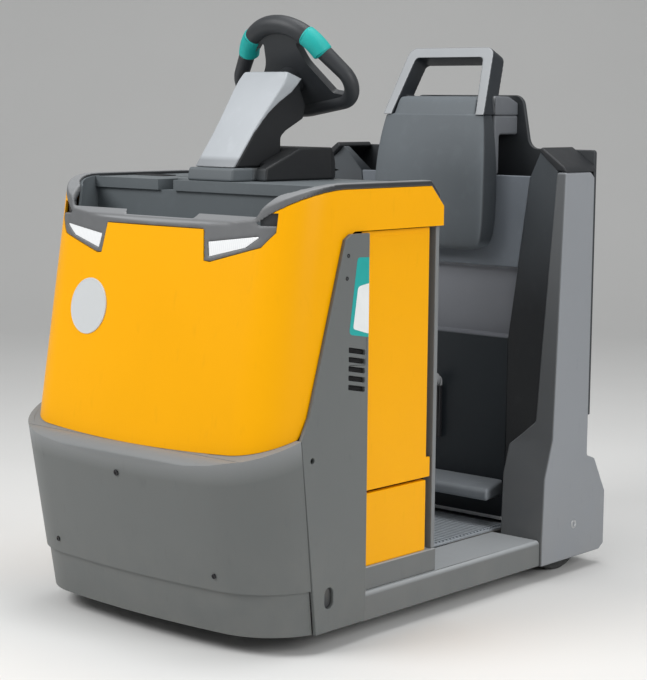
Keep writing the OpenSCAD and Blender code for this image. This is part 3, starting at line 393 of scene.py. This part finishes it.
def screw(name, node, start, direction, radius, finish, beside=(0.0, 0.0, 0.0)):
    """A socket screw in a panel's face; where it sits in a hole, the face is felt for beside that."""
    place, normal = surface(node, Vector(start) + Vector(beside), direction)
    place = place - Vector(beside)
    head = [(radius * 1.25, -0.0006), (radius * 1.25, 0.0006), (radius * 1.1, 0.0012),
            (radius * 0.62, 0.0012), (radius * 0.55, 0.0004), (radius * 0.55, -0.0025)]
    piece = turned(name, head, 24, finish, place, normal)
    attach(piece, "body")


black_steel = machined("blackened_screws", (0.045, 0.045, 0.048, 1.0))
nose_x, beside_hole = 0.9, (0.0, 0.0, 0.011)
# Each apron screw as name, place across and up, and radius
apron_screws = [("top", 0.0, 0.369, 0.0055), ("left", 0.249, 0.174, 0.0045),
                ("right", -0.249, 0.174, 0.0045)]
for place, y, z, radius in apron_screws:
    screw("apron_screw_" + place, "front_apron", (nose_x, y, z), (-1, 0, 0), radius, black_steel, beside_hole)
# Each screw or bolt of one side as name, solid, place along and up, radius and finish
side_screws = [("upper_panel_screw_", "side_panel_", 0.386, 0.847, 0.0035, black_steel),
               ("lower_panel_screw_", "side_panel_", 0.390, 0.799, 0.0035, black_steel),
               ("cheek_bolt_", "cheek_", -0.495, 0.124, 0.009, steel)]
sides = (("left", 1), ("right", -1))
for side, sign in sides:
    for name, node, x, z, radius, finish in side_screws:
        screw(name + side, node + side, (x, sign, z), (0, -sign, 0), radius, finish)

# Vent screens: a pleated near-black sheet clipped inside each side panel, right behind its slots.
# It is painted shade, so that the slots read dark.
# A near-black sheet as painted shade behind the slots
shade_sheet_finish = rubber("vent_shade_sheet", (0.006, 0.006, 0.007), 0.0)
sheet_rear_x, sheet_front_x, sheet_low_z, sheet_high_z = 0.318, 0.374, 0.545, 0.665
sheet_folds, sheet_depths, sheet_thick = 40, (0.0080, 0.0092), 0.0008
sheet_corners = [(sheet_rear_x, 0.0), (sheet_front_x, 0.0), (sheet_front_x, sheet_thick),
                (sheet_rear_x, sheet_thick)]
for side, sign in sides:
    panel_low, panel_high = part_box("side_panel_" + side)
    panel_face = max(abs(panel_low.y), abs(panel_high.y))
    sheet_loops = []
    for fold in range(sheet_folds + 1):
        z = sheet_low_z + (sheet_high_z - sheet_low_z) * fold / sheet_folds
        depth = sheet_depths[fold % 2]
        sheet_loops.append([(x, sign * (panel_face - depth - thick), z) for x, thick in sheet_corners])
    shade_sheet = lofted("vent_screen_" + side, sheet_loops, shade_sheet_finish, flat=True)
    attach(shade_sheet, "body")

# Battery doors, lower panels and hood: smooth covers in gloss yellow paint. The doors hang on
# pins in the corner of the bay; the hood is one deep-drawn shell with a clear coat.
yellow_paint = painted("yellow_paint", (0.93, 0.418, 0.0), 0.34, coat=0.08, shine=0.12)
dress(["hood"], yellow_paint, 0.0)
dress(["battery_door_left", "battery_door_right", "lower_panels"], yellow_paint, 0.0025, 3)

# Door lips: each door's sheet is drawn up past its frame to just under the hood's edge, with the
# upper edge folded over. They swing with the doors.
lip_out, lip_thick, lip_gap, lip_fold, lip_overlap = 0.0003, 0.0026, 0.0025, 0.0022, 0.004
lip_rear_x, lip_front_gap = 0.0815, 0.0010
# Where the hood's side wall is felt for: its face, then its lower edge at three places along it
hood_face_x, hood_face_z, hood_wall_half, hood_edge_places = 0.2, 0.94, 0.003, (0.10, 0.20, 0.29)
for side, sign in sides:
    door_low, door_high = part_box("battery_door_" + side)
    door_face = max(abs(door_low.y), abs(door_high.y))
    hood_face = abs(surface("hood", (hood_face_x, sign, hood_face_z), (0, -sign, 0))[0].y)
    hood_wall_y = sign * (hood_face - hood_wall_half)
    hood_edges = [surface("hood", (x, hood_wall_y, door_high.z + 0.001), (0, 0, 1))[0].z
                  for x in hood_edge_places]
    lip_top, lip_foot = min(hood_edges) - lip_gap, door_high.z - lip_overlap
    # The lip's section as depth and height, from its outer foot over the fold to its inner foot
    lip_section = [(lip_out, lip_foot), (lip_out, lip_top - lip_fold),
                   (lip_out * 2, lip_top - lip_fold * 0.3), (lip_thick / 2, lip_top),
                   (lip_thick - 0.0004, lip_top - 0.0003),
                   (lip_thick, lip_top - lip_fold), (lip_thick, lip_foot)]
    lip_loops = [[(x, sign * (door_face - depth), z) for depth, z in lip_section]
                 for x in (lip_rear_x, door_high.x - lip_front_gap)]
    lip = lofted("door_lip_" + side, lip_loops, yellow_paint, flat=True)
    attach(lip, "door_" + side)

# Hood badge: a blank silver disc pressed from thin sheet, with a turned lip, glued to the hood's
# face on the driver's right.
badge_y, badge_z, badge_radius, badge_lip, badge_face = -0.183, 0.711, 0.063, 0.0022, 0.0016
badge_finish = painted("badge_silver", (0.60, 0.62, 0.63), 0.30, coat=0.3)
badge_place, badge_facing = surface("hood", (nose_x, badge_y, badge_z), (-1, 0, 0))
badge_profile = [(badge_radius, -0.001), (badge_radius, badge_face), (badge_radius - 0.001, badge_lip),
                 (badge_radius - 0.003, badge_lip), (badge_radius - 0.0038, badge_face),
                 (badge_radius - 0.0048, badge_face), (badge_radius * 0.5, badge_face), (0.004, badge_face)]
badge = turned("hood_badge", badge_profile, 72, badge_finish, badge_place, badge_facing)
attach(badge, "body")

# Side sticker: blank printed vinyl on the left panel, a teal plate cut along the hood's slope with
# a white field laid over it, which runs off at the door.


def vinyl(name, corners, proud, colour):
    """A thin sticker on the left panel: corners as x, z and radius, going round."""
    finish = Finish(name)
    finish.wear({
        "Base Color": finish.mix(finish.noise(30.0, 3.0), shade(colour, 0.94), shade(colour, 1.06)),
        "Roughness": 0.30 + finish.noise(40.0) * 0.12, "Coat Weight": 0.2,
        "Normal": finish.bump(finish.noise(300.0), 0.03, 0.0004)})
    outline, bend = [], 8
    for index, (x, z, radius) in enumerate(corners):
        here = Vector((x, z))
        before = (Vector(corners[index - 1][:2]) - here).normalized()
        after = (Vector(corners[(index + 1) % len(corners)][:2]) - here).normalized()
        reach = radius / math.tan(before.angle(after) / 2)
        for step in range(bend + 1):
            share = step / bend
            outline.append(here + before * reach * (1 - share) ** 2 + after * reach * share ** 2)
    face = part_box("side_panel_left")[1].y
    loops = [[(spot.x, face + out, spot.y) for spot in outline] for out in (-0.0002, proud)]
    piece = lofted(name, loops, finish, flat=True)
    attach(piece, "body")


plate_rear, plate_proud, field_rear, field_proud, cut_corner = 0.3180, 0.0004, 0.3183, 0.0007, 0.002
plate_corners = [(plate_rear, 0.8405, cut_corner), (0.3565, 0.8420, 0.010), (0.3820, 0.6790, 0.012),
                 (plate_rear, 0.6690, cut_corner)]
field_corners = [(field_rear, 0.7850, cut_corner), (0.3540, 0.7800, 0.012), (0.3690, 0.6905, 0.007),
                 (field_rear, 0.6765, cut_corner)]
vinyl("side_sticker", plate_corners, plate_proud, (0.004, 0.36, 0.34))
vinyl("sticker_field", field_corners, field_proud, (0.80, 0.82, 0.82))

# Hood rim: a grained grey moulding that caps the hood's upper edge and frames the two lamps. It is
# clipped on from above. Painted shade darkens its sides, and a painted highlight lightens its crest.


def moulded(name, colour, gloss, grain=0.25, layers=()):
    """Injection-moulded plastic with an etched grain; layers are other colours and where they lie."""
    finish = Finish(name)
    pebbles = finish.node("ShaderNodeTexVoronoi", None, {"Vector": finish.spot, "Scale": 900.0})
    cloud = finish.noise(5.0, 4.0)
    rubbed = finish.ramp(finish.noise(26.0, 6.0), 0.55, 0.8)
    tone = finish.mix(cloud, shade(colour, 0.88), shade(colour, 1.12))
    tone = finish.mix(rubbed * 0.12, tone, shade(colour, 1.9))
    for other, share in layers:
        tone = finish.mix(share(finish), tone, finish.mix(cloud, shade(other, 0.88), shade(other, 1.12)))
    finish.wear({
        "Base Color": tone, "Roughness": gloss + cloud * 0.1 - rubbed * 0.08,
        "Normal": finish.bump(pebbles, grain, 0.0005)})
    return finish


def melt(node, cell, passes):
    """Rounds every edge of a moulded solid: its skin is drawn again in small cells and evened out."""
    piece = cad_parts[node]
    weld = piece.modifiers.new("weld", "WELD")
    weld.merge_threshold = 0.00002
    skin = piece.modifiers.new("skin", "REMESH")
    skin.mode = "VOXEL"
    skin.voxel_size = cell
    skin.use_smooth_shade = True
    evening = piece.modifiers.new("evening", "SMOOTH")
    evening.factor = 0.5
    evening.iterations = passes


# Painted light: the rim's sideways faces take painted shade, and its faces towards the crest a painted
# highlight
crest_highlight_facing = (0.30, 0.0, 0.954)
rim_plastic = moulded("rim_plastic", (0.125, 0.129, 0.134), 0.42, 0.25, [
    ((0.025, 0.027, 0.030), lambda finish: finish.ramp(finish.sideways(), 0.80, 0.93)),
    ((0.235, 0.242, 0.250), lambda finish: finish.ramp(finish.facing(crest_highlight_facing), 0.72, 0.97))])
dress(["hood_rim"], rim_plastic)
melt("hood_rim", 0.0024, 7)

# Rim corner strips: two dark moulded strips, snapped in under the rim's crest where it bends round
# the hood's corners beside the lamps.
strip_plastic = moulded("strip_plastic", (0.035, 0.037, 0.041), 0.45)
strip_low_z, strip_high_z, strip_inset, strip_depth = 0.902, 0.938, 0.020, 0.006
# The strip's bend, in degrees about the middle of the hood's corner, and how far out the skin is felt for
strip_from, strip_sweep, strip_steps = 17, 50, 14
corner_x, corner_y, corner_z, corner_reach = 0.40, 0.25, 0.84, 0.5
# Corners of the strip's section as depth and height
strip_section = [(0.0, strip_low_z), (0.0, strip_high_z), (strip_depth, strip_high_z),
                 (strip_depth, strip_low_z)]
for side, sign in sides:
    strip_loops = []
    for step in range(strip_steps + 1):
        turn = math.radians(strip_from + strip_sweep * step / strip_steps)
        outward = Vector((math.cos(turn), sign * math.sin(turn), 0.0))
        corner = Vector((corner_x, sign * corner_y, corner_z))
        skin, _ = surface("hood", corner + outward * corner_reach, -outward)
        strip_loop = []
        for depth, height in strip_section:
            place = skin - outward * (strip_inset + depth)
            strip_loop.append((place.x, place.y, height))
        strip_loops.append(strip_loop)
    strip = lofted("rim_corner_strip_" + side, strip_loops, strip_plastic, flat=True)
    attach(strip, "body")

# Lamps: white reflectors behind fluted clear lenses, bonded into the notches of the rim. The flutes
# run upright and spread the light sideways.
lens = Finish("lamp_lens")
flutes = lens.node("ShaderNodeTexWave", {"bands_direction": "Y"}, {"Vector": lens.spot, "Scale": 60.0})
lens.wear({
    "Base Color": lens.mix(flutes, (0.84, 0.86, 0.87, 1.0), (0.93, 0.94, 0.95, 1.0)),
    "Roughness": 0.12 + flutes * 0.1, "Coat Weight": 1.0, "Coat Roughness": 0.03,
    "Normal": lens.bump(flutes, 0.1, 0.002)})
dress(["lamps"], lens, 0.0015)

# Dash: one grained moulding with the storage tray and its deck, and the console round the column.
# The console is two-tone: black at the driver's end and grey at the front.
dash_plastic = moulded("dash_plastic", (0.115, 0.132, 0.142), 0.48)
dark_plastic = moulded("dark_plastic", (0.006, 0.0072, 0.009), 0.48)
console_split = (0.316, 0.330)
console_plastic = moulded("console_plastic", (0.006, 0.0072, 0.009), 0.48, 0.25, [
    ((0.105, 0.120, 0.130), lambda finish: finish.ramp(finish.along("X"), *console_split))])
dress(["dash_deck"], dash_plastic, 0.0)
dress(["console"], console_plastic, 0.006, 3)

# Pen tray: a shallow dark moulded cup let into the deck on the driver's right, with a raised lip
# that covers the cut in the deck.
tray_low, tray_high, tray_corner, tray_bend = Vector((0.235, -0.362)), Vector((0.285, -0.262)), 0.010, 6
tray_x, tray_y, above_deck = 0.26, -0.33, 1.5
deck_top = surface("dash_deck", (tray_x, tray_y, above_deck), (0, 0, -1))[0].z
# Levels of the tray as inset and height over the deck, from the lip's foot to its floor
tray_levels = [(0.0, -0.0004), (0.0006, 0.0016), (0.0018, 0.0024), (0.0040, 0.0024), (0.0050, 0.0014),
               (0.0056, 0.0003)]
# Middles of the rounded corners, and the way that each starts
tray_corners = [(tray_high.x - tray_corner, tray_high.y - tray_corner, 0),
                (tray_low.x + tray_corner, tray_high.y - tray_corner, 90),
                (tray_low.x + tray_corner, tray_low.y + tray_corner, 180),
                (tray_high.x - tray_corner, tray_low.y + tray_corner, 270)]
tray_loops = []
for inset, rise in tray_levels:
    tray_loop, radius = [], tray_corner - inset
    for x, y, start in tray_corners:
        for step in range(tray_bend + 1):
            turn = math.radians(start + 90 * step / tray_bend)
            tray_loop.append((x + radius * math.cos(turn), y + radius * math.sin(turn), deck_top + rise))
    tray_loops.append(tray_loop)
pen_tray = lofted("pen_tray", tray_loops, dark_plastic)
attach(pen_tray, "body")

# Steering column: a dark moulded body under a satin silver cover, which reaches from the dash up
# to the steering wheel. The cover is darker at its foot, where it meets the console.
cover_foot = (1.046, 1.036)
silver_plastic = moulded("silver_plastic", (0.41, 0.435, 0.46), 0.36, 0.08, [
    ((0.25, 0.265, 0.28), lambda finish: finish.ramp(finish.along("Z"), *cover_foot))])
dress(["column_body"], dark_plastic, 0.006, 3)
dress(["column_cover"], silver_plastic)
melt("column_cover", 0.002, 12)

# Steering wheel: a black foam-skinned rim on a broad middle plate, with two teal sleeves where
# the hands go. The skin is cast round the rim's steel and is thicker in the crown.
wheel_skin = moulded("wheel_skin", (0.026, 0.029, 0.033), 0.45)
grip_skin = moulded("grip_skin", (0.003, 0.40, 0.37), 0.5)
dress(["steering_wheel"], wheel_skin, 0.0)
wheel_hub, wheel_lean = Vector((0.115, 0.0, 1.221)), math.radians(63)
wheel_up = Vector((math.cos(wheel_lean), 0.0, math.sin(wheel_lean)))
wheel_shaft = Vector((-math.sin(wheel_lean), 0.0, math.cos(wheel_lean)))
# Corners of the rim's middle line as up, sideways and radius, then the skin's radius below and in the crown
wheel_corners = [(0.212, 0.0, 0.128), (-0.044, 0.209, 0.046), (-0.082, 0.0, 0.150), (-0.044, -0.209, 0.046)]
skin_radius, crown_radius, crown_low, crown_high = 0.0175, 0.022, 0.070, 0.110
skin_sides, skin_steps = 24, 20
skin_line = []
for index, (rise, across, radius) in enumerate(wheel_corners):
    here = Vector((rise, across))
    before = (Vector(wheel_corners[index - 1][:2]) - here).normalized()
    after = (Vector(wheel_corners[(index + 1) % len(wheel_corners)][:2]) - here).normalized()
    half = before.angle(after) / 2
    middle = here + (before + after).normalized() * (radius / math.sin(half))
    start = here + before * (radius / math.tan(half)) - middle
    sweep = -math.copysign(math.pi - 2 * half, before.x * after.y - before.y * after.x)
    for step in range(skin_steps + 1):
        skin_line.append(middle + Matrix.Rotation(sweep * step / skin_steps, 2) @ start)
skin_loops = []
for index, spot in enumerate(skin_line):
    ahead = (skin_line[(index + 1) % len(skin_line)] - skin_line[index - 1]).normalized()
    swell = min(1.0, max(0.0, (spot.x - crown_low) / (crown_high - crown_low)))
    radius = skin_radius + (crown_radius - skin_radius) * swell
    skin_loop = []
    for step in range(skin_sides):
        turn = 2 * math.pi * step / skin_sides
        out, over = radius * math.cos(turn), radius * math.sin(turn)
        place = wheel_hub + wheel_up * (spot.x + out * ahead.y) + wheel_shaft * over
        skin_loop.append(place + Vector((0.0, spot.y - out * ahead.x, 0.0)))
    skin_loops.append(skin_loop)
rim_skin = lofted("steering_rim_skin", skin_loops, wheel_skin, ring=True)
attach(rim_skin, "steering")
dress(["steering_grips"], grip_skin, 0.006, 4)

# Step: grey painted sills with rolled edges on both sides of a ribbed rubber mat, the dark
# bulkhead in front, and a moulded ledge for the heels at the back.
# Painted light: the sills' upward faces are lightened with a painted highlight, as if lit from above
sill_paint = painted("sill_paint", (0.150, 0.158, 0.158), 0.36, dust=0.1, layers=[
    ((0.400, 0.420, 0.435), lambda finish: finish.ramp(finish.facing((0.0, 0.0, 1.0)), 0.20, 0.85))])
mat_rubber = rubber("mat_rubber", (0.34, 0.37, 0.40), 0.2)
ledge_plastic = moulded("ledge_plastic", (0.22, 0.24, 0.26), 0.5)
dress(["sill_left", "sill_right"], sill_paint, 0.003, 3)
dress(["floor_mat"], mat_rubber, 0.0)
dress(["bulkhead"], dark_plastic, 0.002)
dress(["foot_ledge"], ledge_plastic, 0.008, 3)

# Kick strip: an angle rolled from thin sheet, that holds the mat's rear edge down against the wall.
# Its near-white paint is a painted highlight, standing in for the gleam of bright steel.
kick_half, wall_face, mat_top = 0.245, -0.460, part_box("floor_mat")[1].z
# The strip's section as distance from the wall and height over the mat
kick_section = [(0.0, 0.0), (0.008, 0.0), (0.0088, 0.0008), (0.008, 0.0020), (0.0032, 0.0026),
                (0.0022, 0.0036), (0.0020, 0.0060), (0.0012, 0.0068), (0.0, 0.0060)]
kick_loops = [[(wall_face + out, y, mat_top + rise) for out, rise in kick_section]
              for y in (-kick_half, kick_half)]
# Near-white paint as a painted highlight along the strip
kick_highlight_paint = painted("kick_highlight_paint", (0.88, 0.89, 0.90), 0.25)
kick_strip = lofted("kick_strip", kick_loops, kick_highlight_paint, flat=True)
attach(kick_strip, "body")

# Rear body: a folded dark wall with a recess across it, canted wings with black caps, the cowl
# behind them, and the release lever with its pale knob. The painted cheeks house the rear wheels.
black_plastic = moulded("black_plastic", (0.016, 0.018, 0.021), 0.45)
# Painted light: the wings' black moulding is lightened towards its top, where the light from above falls
wing_plastic = moulded("wing_plastic", (0.008, 0.010, 0.013), 0.5, 0.25, [
    ((0.075, 0.086, 0.096), lambda finish: finish.ramp(finish.along("Z"), 0.66, 1.04))])
cowl_plastic = moulded("cowl_plastic", (0.030, 0.034, 0.038), 0.45)


def below(height, blend):
    """A layer's place: all that lies lower than a height, with a short blend about it."""
    return lambda finish: finish.ramp(finish.along("Z"), height + blend, height - blend)


wall_low_z, wall_high_z, wall_blend = 0.581, 0.761, 0.002
wall_plastic = moulded("wall_plastic", (0.155, 0.175, 0.200), 0.5, 0.25, [
    ((0.230, 0.240, 0.265), below(wall_high_z, wall_blend)),
    ((0.020, 0.026, 0.032), below(wall_low_z, wall_blend))])
knob_z, knob_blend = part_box("release_lever")[1].z - 0.034, 0.001
lever_plastic = moulded("lever_plastic", (0.022, 0.022, 0.025), 0.45, 0.25, [
    ((0.36, 0.37, 0.38), lambda finish: finish.ramp(
        finish.along("Z"), knob_z - knob_blend, knob_z + knob_blend))])
# Painted shade: the cheeks' forward-facing returns are darkened
cheek_paint = painted("cheek_paint", (0.262, 0.276, 0.296), 0.42, dust=0.2, layers=[
    ((0.125, 0.132, 0.138), lambda finish: finish.ramp(finish.facing((1.0, 0.0, 0.0)), 0.45, 0.85))])
dress(["rear_wall"], wall_plastic, 0.003)
dress(["wing_left", "wing_right"], wing_plastic, 0.003)
dress(["cowl"], cowl_plastic, 0.003)
dress(["wing_caps"], black_plastic, 0.004, 3)
dress(["release_lever"], lever_plastic, 0.004, 3)
dress(["cheek_left", "cheek_right"], cheek_paint, 0.005, 3)

# Backrest shell and handle: a grey moulded shell bolted to the wall, and a handle of bent tube with
# a moulded cover, with painted shade on its sides and a painted highlight on its front.
grey_plastic = moulded("grey_plastic", (0.125, 0.134, 0.148), 0.46)
hoop_highlight_facing, hoop_foot_x, hoop_foot_z = (0.91, 0.0, 0.415), -0.462, 1.187
# Painted light: the hoop is darkened with painted shade above its foot and ahead of the wall, and its front
# faces lightened
hoop_plastic = moulded("hoop_plastic", (0.125, 0.134, 0.148), 0.42, 0.2, [
    ((0.014, 0.018, 0.023), lambda finish: finish.ramp(
        (finish.along("Z") > hoop_foot_z) + (finish.along("X") > hoop_foot_x), 0.0, 1.0)),
    ((0.33, 0.345, 0.36), lambda finish: finish.ramp(finish.facing(hoop_highlight_facing), 0.72, 0.93))])
dress(["backrest_shell"], grey_plastic, 0.006, 3)
dress(["backrest_handle"], hoop_plastic)
melt("backrest_handle", 0.0022, 9)

# Backrest cushion: a crowned pad of foam with a moulded skin, buttoned to the shell. It is fullest
# at the small of the back, thins upward, and steps in where the handle's legs stand.
pad_low, pad_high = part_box("backrest_pad")
pad_height = pad_high.z - pad_low.z
# Levels of the pad as share of its height, depth and half width
pad_levels = [
    (0.0, 0.030, 0.098), (0.004, 0.044, 0.120), (0.02, 0.058, 0.146), (0.06, 0.066, 0.162),
    (0.13, 0.0715, 0.171), (0.26, 0.0745, 0.1755), (0.52, 0.0745, 0.177), (0.74, 0.061, 0.168),
    (0.86, 0.0505, 0.1585), (0.873, 0.0495, 0.157), (0.8775, 0.0490, 0.1545), (0.8795, 0.0485, 0.149),
    (0.8815, 0.0480, 0.1365), (0.884, 0.0475, 0.1315), (0.892, 0.0465, 0.130), (0.95, 0.0375, 0.1265),
    (0.978, 0.032, 0.125), (0.993, 0.026, 0.1235), (1.0, 0.016, 0.120)]
# A level's outline is a rounded rectangle: the lower the power, the squarer its corners
pad_sides, pad_power, pad_crown = 64, 0.18, 0.07
pad_loops = []
for share, depth, half_width in pad_levels:
    pad_loop = []
    for step in range(pad_sides):
        turn = 2 * math.pi * step / pad_sides
        across = math.copysign(abs(math.cos(turn)) ** pad_power, math.cos(turn))
        ahead = math.copysign(abs(math.sin(turn)) ** pad_power, math.sin(turn))
        out = depth * (0.5 + 0.5 * ahead) * (1.0 - pad_crown * across * across)
        pad_loop.append((pad_low.x + out, -half_width * across, pad_low.z + share * pad_height))
    pad_loops.append(pad_loop)
# Painted shade: the cushion's side walls are darkened
pad_skin = moulded("pad_skin", (0.118, 0.136, 0.150), 0.55, 0.4, [
    ((0.030, 0.036, 0.042), lambda finish: finish.ramp(finish.sideways(), 0.60, 0.92))])
pad = lofted("backrest_cushion", pad_loops, pad_skin)
foam = pad.modifiers.new("foam", "SUBSURF")
foam.levels = foam.render_levels = 2
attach(pad, "body")
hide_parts("backrest_pad")
